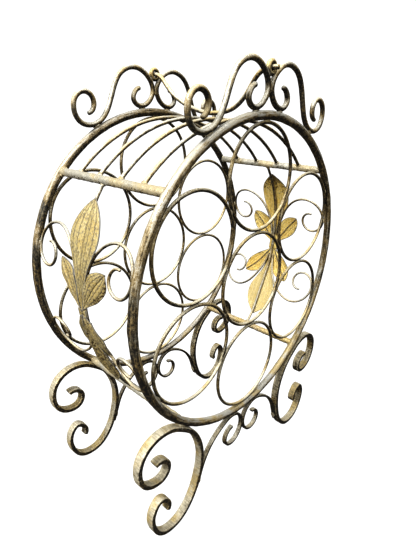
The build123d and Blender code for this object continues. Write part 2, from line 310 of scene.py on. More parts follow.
def sweep(name, path, section, across, closed=False, lumps=0.06, lump_size=9.0, grain=0.0, seed=1,
          ends=(1.0, 1.0), end_cut=0.5):
    """A rod or bar: a section carried along a path. across gives the section's second axis.

    lumps is the height of the hammered unevenness and lump_size its width, grain the height of the finest
    unevenness, ends the section's scale at the two ends, for a tapered tip, and end_cut the length of the
    rounding there.
    """
    path = np.asarray(path, float)
    count = len(path)
    across = np.broadcast_to(across, (count, 3))
    if closed:
        tangent = unit(np.roll(path, -1, 0) - np.roll(path, 1, 0))
    else:
        first, last = unit(path[1] - path[0]), unit(path[-1] - path[-2])
        near_first, near_last = path[0] + first * end_cut * 0.4, path[-1] - last * end_cut * 0.4
        path = np.concatenate([[path[0], near_first], path[1:-1], [near_last, path[-1]]])
        across = np.concatenate([across[:1], across, across[-1:]])
        count = len(path)
        tangent = unit(np.gradient(path, axis=0))
    second = unit(across - tangent * (across * tangent).sum(1, keepdims=True))
    first_axis = np.cross(second, tangent)
    steps = np.linalg.norm(np.diff(path, axis=0), axis=1)
    along = np.concatenate([[0.0], np.cumsum(steps)])
    size = np.ones(count)
    if not closed:
        reach = min(14.0, along[-1] / 3)
        near_start = np.clip(along / reach, 0, 1)
        near_end = np.clip((along[-1] - along) / reach, 0, 1)
        size *= ends[0] + (1 - ends[0]) * near_start * (2 - near_start)
        size *= ends[1] + (1 - ends[1]) * near_end * (2 - near_end)
        radius = np.abs(section).max(0).min()
        size[[0, -1]] *= 1 - min(0.35, end_cut / radius * 0.5)
        size[[1, -2]] *= 1 - min(0.10, end_cut / radius * 0.12)
    sides = len(section)
    offset = section[None, :, :1] * first_axis[:, None] + section[None, :, 1:] * second[:, None]
    points = path[:, None] + offset * size[:, None, None]
    outward = np.roll(section, -1, 0) - np.roll(section, 1, 0)
    outward = unit(np.stack([outward[:, 1], -outward[:, 0]], 1))
    normal = outward[None, :, :1] * first_axis[:, None] + outward[None, :, 1:] * second[:, None]
    flat_points = points.reshape(-1, 3)
    flat_normals = normal.reshape(-1, 3)
    rise = lumps * bumps(flat_points, lump_size, seed)
    rise += 0.45 * lumps * bumps(flat_points, lump_size / 3.1, seed + 7)
    if grain:
        rise += grain * bumps(flat_points, 0.9, seed + 3)
    points = flat_points + rise[:, None] * flat_normals
    faces = []
    rings = count if closed else count - 1
    for i in range(rings):
        a, b = i * sides, ((i + 1) % count) * sides
        for j in range(sides):
            k = (j + 1) % sides
            faces.append((a + j, b + j, b + k, a + k))
    if not closed:
        faces.append(tuple(range(sides)))
        faces.append(tuple(reversed(range((count - 1) * sides, count * sides))))
    values = {
        "along": np.repeat(along, sides),
        "thick": np.tile(section[:, 0], count),
        "wide": np.tile(section[:, 1], count),
        "facing_up": flat_normals[:, 2],
        "broad": np.tile(np.abs(outward[:, 0]), count),
        "height": rise / lumps,
    }
    piece = new_piece(name, points, faces, values)
    clean_up(piece)
    return piece


def clean_up(piece, merge=0.0):
    """Turns a mesh's faces outwards, after merging points closer than a distance."""
    shape = bmesh.new()
    shape.from_mesh(piece.data)
    if merge:
        bmesh.ops.remove_doubles(shape, verts=shape.verts, dist=merge * MM)
    bmesh.ops.recalc_face_normals(shape, faces=shape.faces)
    shape.to_mesh(piece.data)
    shape.free()
    piece.data.shade_smooth()


def weld_beads(name, spots, seed):
    """Small uneven beads of weld metal. A spot is (centre, long direction, (length, width, height))."""
    all_points, all_faces, heights = [], [], []
    template = bmesh.new()
    bmesh.ops.create_icosphere(template, subdivisions=3, radius=1.0)
    ball = np.array([v.co[:] for v in template.verts])
    triangles = [tuple(v.index for v in face.verts) for face in template.faces]
    template.free()
    for number, (centre, direction, size) in enumerate(spots):
        direction = unit(np.asarray(direction, float))
        helper = ALONG_DRUM if abs(direction[1]) < 0.9 else UP
        wide = unit(np.cross(direction, helper))
        tall = np.cross(direction, wide)
        lump = 1 + 0.22 * bumps(ball * 2.2, 1.0, seed + number)
        lump += 0.10 * bumps(ball * 6, 1.0, seed + number + 50)
        shaped = ball * lump[:, None] * np.array(size) / 2
        start = number * len(ball)
        all_points.append(centre + shaped[:, :1] * direction + shaped[:, 1:2] * wide + shaped[:, 2:] * tall)
        all_faces += [tuple(start + v for v in triangle) for triangle in triangles]
        heights.append(lump - 1)
    points = np.concatenate(all_points)
    zero = np.zeros(len(points))
    values = {"along": points[:, 2], "thick": points[:, 0], "wide": points[:, 1], "facing_up": zero + 0.4,
              "broad": zero + 1, "height": np.concatenate(heights) * 3}
    return new_piece(name, points, all_faces, values)


def dress(piece, material, nodes=(), body="rack"):
    """Gives a piece its material, parents it to its body's empty and hides the CAD parts it replaces."""
    piece.data.materials.clear()
    piece.data.materials.append(material)
    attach(piece, body)
    if nodes:
        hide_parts(*nodes)
    return piece


# ---------------------------------------------------------------- materials

class Graph:
    """Short calls for building a material's nodes."""

    def __init__(self, name):
        self.material = bpy.data.materials.new(name)
        self.material.use_nodes = True
        self.tree = self.material.node_tree
        self.tree.nodes.clear()

    def add(self, kind, inputs=None, output=0, **settings):
        node = self.tree.nodes.new(kind)
        for key, value in settings.items():
            setattr(node, key, value)
        for key, value in (inputs or {}).items():
            if isinstance(value, bpy.types.NodeSocket):
                self.tree.links.new(value, node.inputs[key])
            else:
                node.inputs[key].default_value = value
        return node.outputs[output]

    def attribute(self, name):
        return self.add("ShaderNodeAttribute", output="Fac", attribute_name=name)

    def place(self):
        return self.add("ShaderNodeTexCoord", output="Object")

    def noise(self, where, scale, detail=3.0, rough=0.55):
        inputs = {"Vector": where, "Scale": scale, "Detail": detail, "Roughness": rough}
        return self.add("ShaderNodeTexNoise", inputs)

    def math(self, operation, first, second=0.0):
        return self.add("ShaderNodeMath", {0: first, 1: second}, operation=operation)

    def range(self, value, low, high, to_low=0.0, to_high=1.0):
        inputs = {"Value": value, "From Min": low, "From Max": high, "To Min": to_low, "To Max": to_high}
        return self.add("ShaderNodeMapRange", inputs, interpolation_type="SMOOTHSTEP")

    def mix(self, factor, first, second):
        node = self.tree.nodes.new("ShaderNodeMix")
        node.data_type = "RGBA"
        for key, value in ((0, factor), (6, first), (7, second)):
            if isinstance(value, bpy.types.NodeSocket):
                self.tree.links.new(value, node.inputs[key])
            else:
                node.inputs[key].default_value = value if key == 0 else (*value, 1.0)
        return node.outputs[2]

    def combine(self, x, y, z):
        return self.add("ShaderNodeCombineXYZ", {0: x, 1: y, 2: z})

    def surface(self, colour, rough, metal, relief, relief_depth, specular):
        bump_inputs = {"Height": relief, "Distance": relief_depth, "Strength": 0.8}
        bump = self.add("ShaderNodeBump", bump_inputs)
        inputs = {"Base Color": colour, "Roughness": rough, "Metallic": metal, "Normal": bump,
                  "Specular IOR Level": specular}
        self.add_output(self.add("ShaderNodeBsdfPrincipled", inputs))
        return self.material

    def add_output(self, shader):
        node = self.tree.nodes.new("ShaderNodeOutputMaterial")
        self.tree.links.new(shader, node.inputs["Surface"])


BLACK_IRON = (0.007, 0.006, 0.0045)
BROWN_IRON = (0.038, 0.029, 0.017)
OLIVE_BRONZE = (0.135, 0.113, 0.066)
CREAM = (0.86, 0.85, 0.77)
GOLD = (0.50, 0.37, 0.13)
OLD_GOLD = (0.235, 0.165, 0.062)


def rubbed_and_lit_iron(name, rub, light, spread=1.0, cross_grain=0.0, gold=0.35, above=0.0, spots=0.5, inside=0.0):
    """Dark iron with a pale metallic finish rubbed over its high spots. It is paler on its upper faces,
    partly from wear and partly from a painted highlight, and painted shade darkens its undersides to black.

    rub moves the balance from dark to pale, light is the pale colour, spread the contrast of the streaks
    along the bar, cross_grain adds fine lines across a flat bar and darkens its narrow sides, partly as
    blackened edges and partly as painted shade, gold is the share of gold among the pale colour, above
    paints light on the parts high on the rack, making them paler than the low ones, spots is how broken up
    the finish is, and inside paints light on a hoop's inner face, making it paler than its outer one.
    """
    g = Graph(name)
    where = g.place()
    along, thick, wide = g.attribute("along"), g.attribute("thick"), g.attribute("wide")
    streaks_at = g.combine(g.math("MULTIPLY", along, 0.045), g.math("MULTIPLY", thick, 0.50),
                           g.math("MULTIPLY", wide, 0.50))
    streaks = g.noise(streaks_at, 1.0, 5.0, 0.66)
    mottle = g.noise(where, 480.0, 4.0, 0.68)
    specks = g.noise(where, 1300.0, 2.0, 0.6)
    tint = g.noise(where, 40.0, 3.0, 0.6)
    # level is the height on the rack; through above it paints light on the high parts
    level = g.range(g.add("ShaderNodeSeparateXYZ", {0: where}, output=2), 0.10, 0.38)
    parts = [
        # facing_up paints a highlight on upper faces and painted shade on undersides; height pales the
        # hammered high spots, which is wear
        (g.attribute("facing_up"), 0.0, 0.60), (g.attribute("height"), 0.0, 0.10), (level, 0.5, above),
        # inside paints light on a hoop's inner face: painted light
        (thick, 0.0, -inside / HOOP_BAR),
        (streaks, 0.5, 1.20 * spread), (mottle, 0.5, 1.10 * spots), (specks, 0.5, 0.9 * spots),
    ]
    relief = g.math("ADD", mottle, g.math("MULTIPLY", specks, 0.5))
    if cross_grain:
        lines_at = g.combine(g.math("MULTIPLY", along, 0.80), g.math("MULTIPLY", wide, 0.11),
                             g.math("MULTIPLY", thick, 0.11))
        lines = g.range(g.noise(lines_at, 1.0, 4.0, 0.68), 0.34, 0.66)
        # broad darkens the narrow sides of a flat bar: partly blackened edges, partly painted shade
        parts += [(lines, 0.5, cross_grain), (g.attribute("broad"), 0.7, 0.70)]
        relief = g.math("ADD", relief, g.math("MULTIPLY", lines, 0.6))
    wear_and_light = rub
    for value, middle, weight in parts:
        wear_and_light = g.math("ADD", g.math("MULTIPLY", g.math("SUBTRACT", value, middle), weight), wear_and_light)
    bronze = g.mix(g.range(tint, 0.38, 0.54), OLIVE_BRONZE, OLD_GOLD)
    dark = g.mix(g.range(mottle, 0.44, 0.62), BLACK_IRON, BROWN_IRON)
    dark = g.mix(g.math("MULTIPLY", g.range(mottle, 0.53, 0.63), 0.40), dark, bronze)
    colour = g.mix(g.range(wear_and_light, 0.08, 0.40), dark, bronze)
    golden = g.math("MULTIPLY", g.range(tint, 0.46, 0.60), gold)
    if inside:
        golden = g.math("MULTIPLY", golden, g.range(level, 0.4, 1.0, 1.0, 0.25))
    rubbed = g.mix(golden, light, GOLD)
    rubbed = g.mix(g.math("MULTIPLY", g.range(specks, 0.52, 0.70), 0.32), rubbed, CREAM)
    if cross_grain:
        rubbed = g.mix(g.math("MULTIPLY", g.range(lines, 0.55, 0.25), 0.55), rubbed, (0.24, 0.20, 0.125))
    colour = g.mix(g.range(wear_and_light, 0.26, 0.62), colour, rubbed)
    rough = g.range(wear_and_light, 0.0, 0.8, 0.60, 0.48)
    metal = g.range(wear_and_light, 0.1, 0.8, 0.15, 0.40)
    return g.surface(colour, rough, metal, relief, 0.0005, specular=0.38)


def gilt_leaf(name):
    """Matte antique gold on stamped sheet, with fine grain, dark veins and grey-brown edges.

    The outer face shows the stamped veins, and the inner face, which is the back of the stamping, only
    the middle one and a fine grain along the leaf.
    """
    g = Graph(name)
    where = g.place()
    vein, edge, darkening_and_shade = g.attribute("vein"), g.attribute("edge"), g.attribute("darkening_and_shade")
    centred = g.add("ShaderNodeVectorMath", {0: where, 1: (0.0, 0.0, -AXIS_HEIGHT * MM)}, operation="ADD")
    outward = g.add("ShaderNodeVectorMath", {0: centred, 1: (1.0, 0.0, 1.0)}, operation="MULTIPLY")
    normal = g.add("ShaderNodeTexCoord", output="Normal")
    facing = g.add("ShaderNodeVectorMath", {0: outward, 1: normal}, output="Value", operation="DOT_PRODUCT")
    outer = g.range(facing, -0.01, 0.01)
    patches = g.noise(where, 55.0, 3.0)
    stipple = g.noise(where, 1050.0, 2.5, 0.6)
    dabs = g.noise(where, 430.0, 4.0, 0.65)
    grain_at = g.combine(g.math("MULTIPLY", g.attribute("across"), 1.3), g.attribute("darkening_and_shade"), 0.0)
    grain = g.noise(grain_at, 1.0, 3.0, 0.6)
    face = g.mix(outer, (0.62, 0.41, 0.065), (0.40, 0.295, 0.095))
    worn = g.mix(outer, (0.69, 0.52, 0.14), (0.41, 0.33, 0.14))
    gold = g.mix(g.range(patches, 0.36, 0.66), face, worn)
    pale = g.mix(outer, (0.74, 0.64, 0.36), (0.50, 0.445, 0.285))
    gold = g.mix(g.math("MULTIPLY", g.range(stipple, 0.50, 0.64), 0.70), gold, pale)
    smudge_share = g.math("ADD", 0.42, g.math("MULTIPLY", outer, 0.36))
    smudge = g.math("MULTIPLY", g.range(dabs, 0.49, 0.60), smudge_share)
    gold = g.mix(smudge, gold, g.mix(outer, (0.16, 0.105, 0.040), (0.130, 0.108, 0.068)))
    lines = g.math("SUBTRACT", 0.75, g.math("MULTIPLY", outer, 0.5))
    gold = g.mix(g.math("MULTIPLY", g.range(grain, 0.53, 0.66), lines), gold, (0.82, 0.70, 0.38))
    gold = g.mix(g.math("MULTIPLY", g.range(grain, 0.47, 0.34), lines), gold, (0.24, 0.155, 0.045))
    dashes = g.noise(where, 560.0, 1.0)
    cut = g.math("MULTIPLY", vein, g.range(dashes, 0.34, 0.46, 0.55, 1.0))
    cut = g.math("MULTIPLY", cut, g.math("ADD", 0.15, g.math("MULTIPLY", outer, 0.85)))
    midrib = g.math("MULTIPLY", g.attribute("midrib"), g.range(dashes, 0.30, 0.45, 0.6, 1.0))
    cut = g.math("MAXIMUM", cut, midrib)
    colour = g.mix(cut, gold, (0.055, 0.048, 0.036))
    rim = g.range(g.math("ADD", edge, g.math("MULTIPLY", g.math("SUBTRACT", dabs, 0.5), 0.6)), 0.40, 0.85)
    colour = g.mix(rim, colour, (0.20, 0.185, 0.15))
    flecks = g.math("MULTIPLY", g.math("SUBTRACT", g.noise(where, 430.0, 3.0, 0.6), 0.5), 9.0)
    flecks = g.math("MULTIPLY", flecks, g.math("ADD", 0.25, g.math("MULTIPLY", outer, 0.75)))
    flecks = g.math("MULTIPLY", flecks, g.range(darkening_and_shade, 0.65, 0.44, 0.15, 1.0))
    # darkening_and_shade darkens the gold along some leaves, and as painted shade at their bases and curled
    # edges
    darkening = g.math("ADD", darkening_and_shade, g.math("MULTIPLY", flecks, g.range(darkening_and_shade, 0.0, 0.35)))
    colour = g.mix(g.range(darkening, 0.32, 0.78), colour, (0.055, 0.034, 0.010))
    bleach = g.math("MULTIPLY", g.range(darkening_and_shade, -0.02, -0.40), g.range(stipple, 0.42, 0.56, 0.30, 0.85))
    colour = g.mix(bleach, colour, (0.57, 0.485, 0.26))
    relief = g.math("ADD", stipple, g.math("MULTIPLY", dabs, 0.6))
    rough = g.range(stipple, 0.3, 0.7, 0.70, 0.56)
    metal = g.math("MULTIPLY", g.math("SUBTRACT", 1.0, cut), 0.22)
    return g.surface(colour, rough, metal, relief, 0.0006, specular=0.35)


# Through above and inside, the hoop finishes paint light on the hoops' high parts and inner faces
HOOP_FINISHES = {
    "front": rubbed_and_lit_iron("hammered_hoop_iron", 0.22, (0.47, 0.455, 0.39), spread=1.4, gold=0.75, above=0.18,
                         spots=0.45, inside=0.20),
    "rear": rubbed_and_lit_iron("darker_hoop_iron", 0.16, (0.45, 0.42, 0.35), spread=1.3, gold=0.6, spots=0.45,
                        inside=0.16),
}
BAR_FINISH = rubbed_and_lit_iron("hammered_crossbar_iron", 0.86, (0.39, 0.37, 0.30), gold=0.45, spots=2.8)
GOLDEN_BAR_FINISH = rubbed_and_lit_iron("golden_crossbar_iron", 0.52, (0.47, 0.37, 0.20), gold=0.8, spots=1.5)
ROD_FINISH = rubbed_and_lit_iron("rubbed_and_lit_rod_iron", 0.22, (0.56, 0.53, 0.435), spread=0.8, gold=0.6, above=0.06,
                         spots=0.4)
RING_FINISH = rubbed_and_lit_iron("bottle_ring_wire", 0.19, (0.64, 0.58, 0.42), spread=1.2, gold=0.7, spots=0.5)
TENDRIL_FINISH = rubbed_and_lit_iron("panel_wire_iron", 0.28, (0.45, 0.425, 0.345), spread=0.8, spots=0.4)
# The right feet get a darker copy of the strip finish: painted shade
FOOT_FINISHES = {
    "left": rubbed_and_lit_iron("cross_brushed_strip", 0.47, (0.59, 0.535, 0.39), spread=1.1, cross_grain=0.46,
                        gold=0.8, spots=1.1),
    "right": rubbed_and_lit_iron("shaded_brushed_strip", 0.24, (0.57, 0.50, 0.335), spread=1.2, cross_grain=0.46,
                         gold=0.8, spots=1.0),
}
BRACE_FINISH = rubbed_and_lit_iron("narrow_brace_strip", 0.05, (0.58, 0.54, 0.42), spread=0.8, cross_grain=0.30,
                           spots=0.6)
HANDLE_FINISH = rubbed_and_lit_iron("worn_and_lit_handle_iron", 0.28, (0.50, 0.455, 0.33), spread=0.8, gold=0.8, spots=0.4)
EYE_FINISH = rubbed_and_lit_iron("gilt_eye_iron", 0.36, (0.60, 0.47, 0.21), gold=0.8)
WELD_FINISH = rubbed_and_lit_iron("weld_beads_iron", 0.28, (0.45, 0.40, 0.28), gold=0.4)
LEAF_FINISH = gilt_leaf("gilt_leaf_sheet")


# ---------------------------------------------------------------- the rack

ENDS = (("front", FRONT), ("rear", REAR))
SIDES = (("left", -1), ("right", 1))


OUTER_RINGS = ["upper_right", "top", "upper_left", "lower_left", "bottom", "lower_right"]
OUTER_RING_ANGLES = [math.radians(30 + 60 * index) for index in range(len(OUTER_RINGS))]


def ring_centres():
    """Each bottle ring's centre, measured from the drum's axis."""
    centres = {"centre": (0.0, 0.0)}
    for place, angle in zip(OUTER_RINGS, OUTER_RING_ANGLES):
        centres[place] = (RING_PITCH * math.cos(angle), RING_PITCH * math.sin(angle))
    return centres


def ring_welds(depth):
    """The beads where one end's rings touch each other and their hoop."""
    spots = []
    origin = np.array([0.0, depth, AXIS_HEIGHT])
    for angle in OUTER_RING_ANGLES:
        out = np.array([math.cos(angle), 0.0, math.sin(angle)])
        tangent = np.array([-out[2], 0.0, out[0]])
        spots.append((origin + out * RING_PITCH / 2, tangent, RING_WELD))
        spots.append((origin + out * (HOOP_RADIUS - HOOP_BAR / 2 - 0.3), tangent, HOOP_WELD))
        after = angle + math.radians(60)
        middle = (out + np.array([math.cos(after), 0.0, math.sin(after)])) * RING_PITCH / 2
        spots.append((origin + middle, unit(middle), RING_WELD))
    return spots


def build_hoops_and_rings():
    centres = ring_centres()
    for number, (end, depth) in enumerate(ENDS):
        path = circle((0.0, 0.0), HOOP_RADIUS, depth, 640)
        hoop = sweep(f"hammered_{end}_hoop", path, round_section(HOOP_BAR / 2, 24), ALONG_DRUM, closed=True,
                     lumps=0.22, lump_size=9.0, grain=0.03, seed=3 + number)
        dress(hoop, HOOP_FINISHES[end], [f"{end}_hoop"])
        for turn, (place, centre) in enumerate(centres.items()):
            path = circle(centre, RING_RADIUS, depth, 200)
            ring = sweep(f"wire_{end}_ring_{place}", path, round_section(RING_WIRE / 2, 14), ALONG_DRUM,
                         closed=True, lumps=0.07, lump_size=6.0, seed=20 + 10 * number + turn)
            dress(ring, RING_FINISH, [f"{end}_ring_{place}"])
        dress(weld_beads(f"{end}_ring_welds", ring_welds(depth), 100 * number), WELD_FINISH)


def build_crossbars():
    spots = []
    for half, angle in (("upper", UPPER_CROSSBAR_ANGLE), ("lower", LOWER_CROSSBAR_ANGLE)):
        for name, side in SIDES:
            turn = math.radians(angle)
            out = np.array([side * math.cos(turn), 0.0, math.sin(turn)])
            centre = out * HOOP_RADIUS + np.array([0.0, 0.0, AXIS_HEIGHT])
            inset = HOOP_BAR / 2 - 1.4
            start = centre + np.array([0.0, FRONT + inset, 0.0])
            stop = centre + np.array([0.0, REAR - inset, 0.0])
            path = even_steps(np.array([start, stop]), CROSSBAR_STEP)
            bar = sweep(f"hammered_{half}_{name}_crossbar", path, round_section(CROSSBAR / 2, 24), out,
                        lumps=0.44, lump_size=4.2, grain=0.09, seed=41 + side + int(angle))
            finish = GOLDEN_BAR_FINISH if (half, name) == ("lower", "right") else BAR_FINISH
            dress(bar, finish, [f"crossbar_{half}_{name}"])
            around = np.cross(out, ALONG_DRUM)
            for y, inward in ((FRONT, 1), (REAR, -1)):
                for part in (-1, 1):
                    spot = centre + np.array([0.0, y + inward * HOOP_BAR * 0.42, 0.0])
                    spot = spot + around * part * CROSSBAR * 0.40
                    spots.append((spot, around, CROSSBAR_WELD))
    dress(weld_beads("crossbar_welds", spots, 300), WELD_FINISH)


def build_roof():
    reach = HOOP_RADIUS * math.cos(math.radians(UPPER_CROSSBAR_ANGLE))
    foot = HOOP_RADIUS * math.sin(math.radians(UPPER_CROSSBAR_ANGLE))
    drop = ROOF_RISE - foot
    radius = (reach**2 + drop**2) / (2 * drop)
    spread = math.asin(reach / radius)
    inset = CROSSBAR / 2 - 0.9
    spots = []
    for number in range(1, ROOF_BARS + 1):
        depth = FRONT + DEPTH * number / (ROOF_BARS + 1)
        angle = np.linspace(-spread + inset / radius, spread - inset / radius, 220)
        path = np.stack([radius * np.sin(angle), np.full(len(angle), depth),
                         AXIS_HEIGHT + ROOF_RISE - radius + radius * np.cos(angle)], 1)
        bar = sweep(f"roof_rod_{number}", path, round_section(ROOF_WIRE / 2, 14), ALONG_DRUM,
                    lumps=0.08, lump_size=6.0, seed=60 + number, end_cut=0.1)
        dress(bar, ROD_FINISH, [f"roof_bar_{number}"])
        for end in (0, -1):
            direction = unit(path[1] - path[0]) if end == 0 else unit(path[-2] - path[-1])
            spots.append((path[end] + direction * 1.1, ALONG_DRUM, ROOF_WELD))
    dress(weld_beads("roof_rod_welds", spots, 400), WELD_FINISH)


def scroll_welds(side, depth):
    """The beads where one side's scrolls touch a hoop and each other."""
    places = [
        ((17.8, 155.2), (1, 0, -0.1 * side), (8.0, 2.6, 4.6)),
        ((74.6, 138.6), (1, 0, -0.6 * side), (9.0, 3.0, 4.8)),
        ((100.3, -119.5), (1, 0, 0.8 * side), (10.0, 3.4, 7.5)),
        ((71.6, -211.5), (0.3 * side, 0, -1), (10.0, 2.0, 5.6)),
        ((21.5, -154.6), (1, 0, 0.1 * side), (8.0, 2.4, 5.2)),
    ]
    return [(np.array([side * across, depth, AXIS_HEIGHT + up]), direction, size)
            for (across, up), direction, size in places]


def build_scrolls():
    spots = []
    for number, (end, depth) in enumerate(ENDS):
        for name, side in SIDES:
            seed = 70 + 4 * number + side
            path = in_hoop_plane(CREST_LINE, side, depth)
            crest = sweep(f"crest_scroll_{end}_{name}", path, round_section(CREST_ROD / 2, 20), ALONG_DRUM,
                          lumps=0.12, lump_size=7.0, grain=0.02, seed=seed, ends=(0.90, 0.78), end_cut=0.6)
            dress(crest, ROD_FINISH, [f"crest_{end}_{name}"])
            path = in_hoop_plane(FOOT_LINE, side, depth)
            foot = sweep(f"foot_scroll_{end}_{name}", path, flat_section(FOOT_WIDTH, FOOT_THICKNESS),
                         ALONG_DRUM, lumps=0.10, lump_size=8.0, grain=0.04, seed=seed + 20, end_cut=0.4)
            dress(foot, FOOT_FINISHES[name], [f"foot_{end}_{name}"])
            path = in_hoop_plane(BRACE_LINE, side, depth)
            section = flat_section(BRACE_WIDTH, BRACE_THICKNESS, corner=0.7)
            brace = sweep(f"brace_scroll_{end}_{name}", path, section, ALONG_DRUM,
                          lumps=0.08, lump_size=8.0, grain=0.03, seed=seed + 30, end_cut=0.4)
            dress(brace, BRACE_FINISH, [f"brace_{end}_{name}"])
            spots += scroll_welds(side, depth)
        spots.append((np.array([0.0, depth, AXIS_HEIGHT + 174.0]), (0, 0, 1), CREST_PAIR_WELD))
        spots.append((np.array([0.0, depth, AXIS_HEIGHT - 177.0]), (0, 0, 1), BRACE_PAIR_WELD))
        path = circle((0.0, EYE_HEIGHT), EYE_RADIUS, depth, 60)
        eye = sweep(f"handle_eye_ring_{end}", path, round_section(EYE_WIRE / 2 + EYE_SWELL, 16), ALONG_DRUM,
                    closed=True, lumps=0.10, lump_size=3.0, seed=90 + number)
        dress(eye, EYE_FINISH, [f"handle_eye_{end}"])
        for side in (-1, 1):
            spot = np.array([side * 5.2, depth, AXIS_HEIGHT + EYE_HEIGHT - 4.4])
            spots.append((spot, (1, 0, side), EYE_WELD))
    dress(weld_beads("scroll_welds", spots, 500), WELD_FINISH)


def build_handle():
    height = AXIS_HEIGHT + EYE_HEIGHT
    flat = spline([(FRONT + inward, height - drop) for inward, drop in HANDLE_LINE], SCROLL_STEP)
    path = np.stack([np.zeros(len(flat)), flat[:, 0], flat[:, 1]], 1)
    handle = sweep("bail_handle_rod", path, round_section(HANDLE_ROD / 2, 20), np.array([1.0, 0.0, 0.0]),
                   lumps=0.10, lump_size=6.0, grain=0.02, seed=95, end_cut=0.8)
    dress(handle, HANDLE_FINISH, ["handle"], body="handle")


def build_leaf(name, side, half, edges, rows, columns, seed, crown, curl=0.0, lift=0.0, tip=0.8,
               darkening=(0.45, 0.0), sway=0.0):
    """A stamped leaf of a side panel, between two edges that meet at its tip.

    crown is how far its two lobes swell outwards, curl how far its first edge bends in, lift how far its
    base lies above the sheet below it, tip how far its tip bends out, and sway how far its middle bends
    towards the rear. darkening is where along it the gold starts to darken, and how much. A negative amount
    makes the gold paler. Painted shade darkens the leaf at its base and along a curled first edge.
    """
    share = np.linspace(0, 1, rows) ** 0.9
    outlines = []
    for edge in edges:
        line = spline(edge, 0.25)
        at = np.linspace(0, 1, len(line))
        outlines.append(np.stack([np.interp(share, at, line[:, k]) for k in (0, 1)], 1))
    first, second = outlines
    across = np.linspace(-1, 1, columns)
    weight = ((across + 1) / 2)[None, :, None]
    flat = first[:, None] * (1 - weight) + second[:, None] * weight
    half_width = np.linalg.norm(second - first, axis=1)[:, None] / 2
    swell = half_width / half_width.max()
    line = np.abs(across)[None, :]
    signed = np.broadcast_to(across[None, :], (rows, columns))
    along = share[:, None]
    waver = 0.35 * np.sin(along * 70 + seed) + 0.25 * np.sin(along * 131 + 2 * seed)
    groove = np.exp(-((line * half_width + 0.3 * waver) / 0.75) ** 2)
    ribs = np.zeros((rows, columns))
    for place, width, begin in ((0.36, 0.62, 0.06), (0.70, 0.62, 0.22)):
        rib = np.exp(-(((line - place) * half_width + waver * 0.6) / width) ** 2)
        ribs = np.maximum(ribs, rib * np.clip((along - begin) / 0.08, 0, 1))
    fade = np.clip((half_width - 2.2) / 2.5, 0, 1) * np.clip((0.985 - along) / 0.06, 0, 1)
    ribs = ribs * fade
    lobes = crown * swell * (1 - (line - 0.5) ** 2 / 0.25)
    wave = 0.55 * swell * line**2 * np.sin(along * 17 + seed + 1.7 * np.sign(signed))
    rim = 0.35 * np.exp(-((1 - line) * half_width / 0.6) ** 2)
    rise = lobes - 0.9 * groove * np.clip(half_width / 3, 0, 1) - 0.40 * ribs + wave + rim
    rise = rise - curl * swell * np.clip(-signed, 0, 1) ** 2 + lift * (1 - along) ** 2 + tip * along**2
    bent = flat[..., 0] + sway * np.sin(math.pi * along)
    points = on_panel(bent, half * flat[..., 1], side, LEAF_MIDDLE + rise, near_stem=1.0)
    faces = []
    for i in range(rows - 1):
        for j in range(columns - 1):
            a = i * columns + j
            faces.append((a, a + 1, a + columns + 1, a + columns))
    darkening_start, darkening_amount = darkening
    darkening_and_shade = darkening_amount * np.clip((along - darkening_start) / 0.45, 0, 1)
    # Painted shade: darker at the leaf's base, by the stem and under the leaves over it, and along a curled
    # first edge
    darkening_and_shade = darkening_and_shade + 0.12 * np.exp(-along * 9) + 0.20 * curl * np.clip(-signed, 0, 1) ** 2
    values = {
        "midrib": np.clip(groove, 0, 1),
        "vein": np.clip(ribs, 0, 1),
        "edge": np.clip(1.2 - (1 - line) * half_width, 0, 1),
        "darkening_and_shade": darkening_and_shade,
        "across": signed * half_width,
    }
    values = {key: np.broadcast_to(numbers, (rows, columns)) for key, numbers in values.items()}
    piece = new_piece(name, points.reshape(-1, 3), faces, values)
    clean_up(piece, merge=0.02)
    sheet = piece.modifiers.new("sheet", "SOLIDIFY")
    sheet.thickness = LEAF_SHEET * MM
    sheet.offset = 0.0
    return piece


